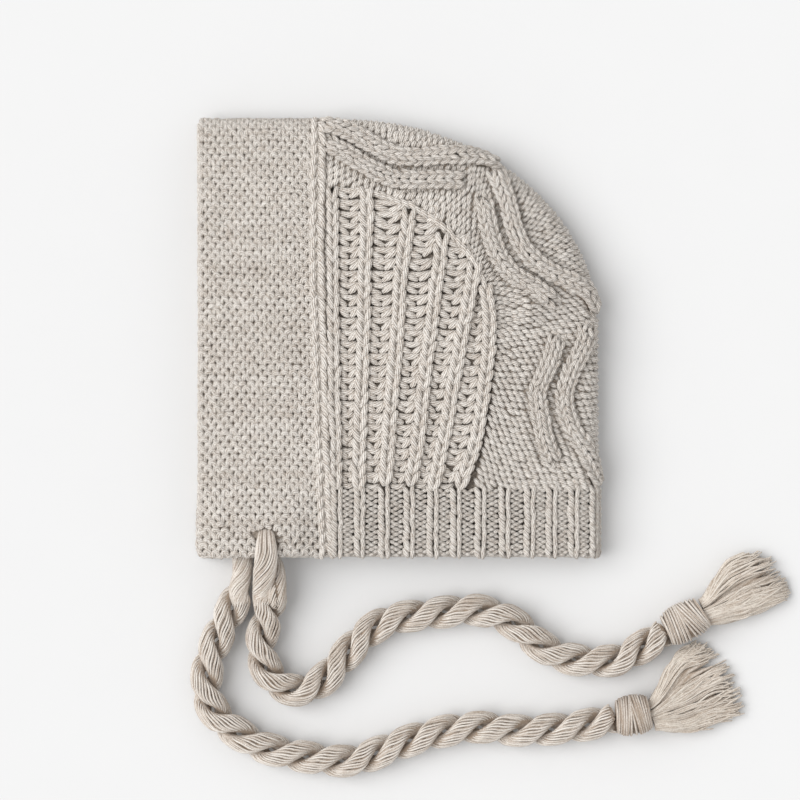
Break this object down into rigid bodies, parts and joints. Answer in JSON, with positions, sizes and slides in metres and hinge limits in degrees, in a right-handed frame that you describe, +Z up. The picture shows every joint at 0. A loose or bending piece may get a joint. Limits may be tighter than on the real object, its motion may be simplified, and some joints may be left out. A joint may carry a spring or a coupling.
{
  "type": "baby bonnet",
  "caption": "Hand-knitted greige wool baby bonnet, folded flat, with a bumpy front band, ribbed side fans, cabled crown, neck rib and twisted ties that end in tassels",
  "frame": {"origin": "bottom centre of the folded bonnet, without its ties, on the surface that it lies on", "axes": "+Z up, +Y from the neck edge to the top of the head, +X from the face edge to the back of the head"},
  "size_m": [0.2411, 0.2644, 0.0268],
  "materials": {
    "knit_yarn": "matte heather greige wool yarn, knitted",
    "tie_yarn": "matte heather greige wool yarn, plied into cord",
    "tassel_yarn": "matte loose wool strands, a little warmer at the cut ends"
  },
  "bodies": {
    "root": {"front_band": "knit_yarn", "neck_rib": "knit_yarn", "crown_panel": "knit_yarn", "side_fan_near": "knit_yarn", "side_fan_far": "knit_yarn", "tie_loop_near": "tie_yarn", "tie_loop_far": "tie_yarn", "tie_cord_near": "tie_yarn", "tie_cord_far": "tie_yarn", "knot_near": "tie_yarn", "knot_far": "tie_yarn", "tassel_near": "tassel_yarn", "tassel_far": "tassel_yarn"}
  },
  "joints": []
}
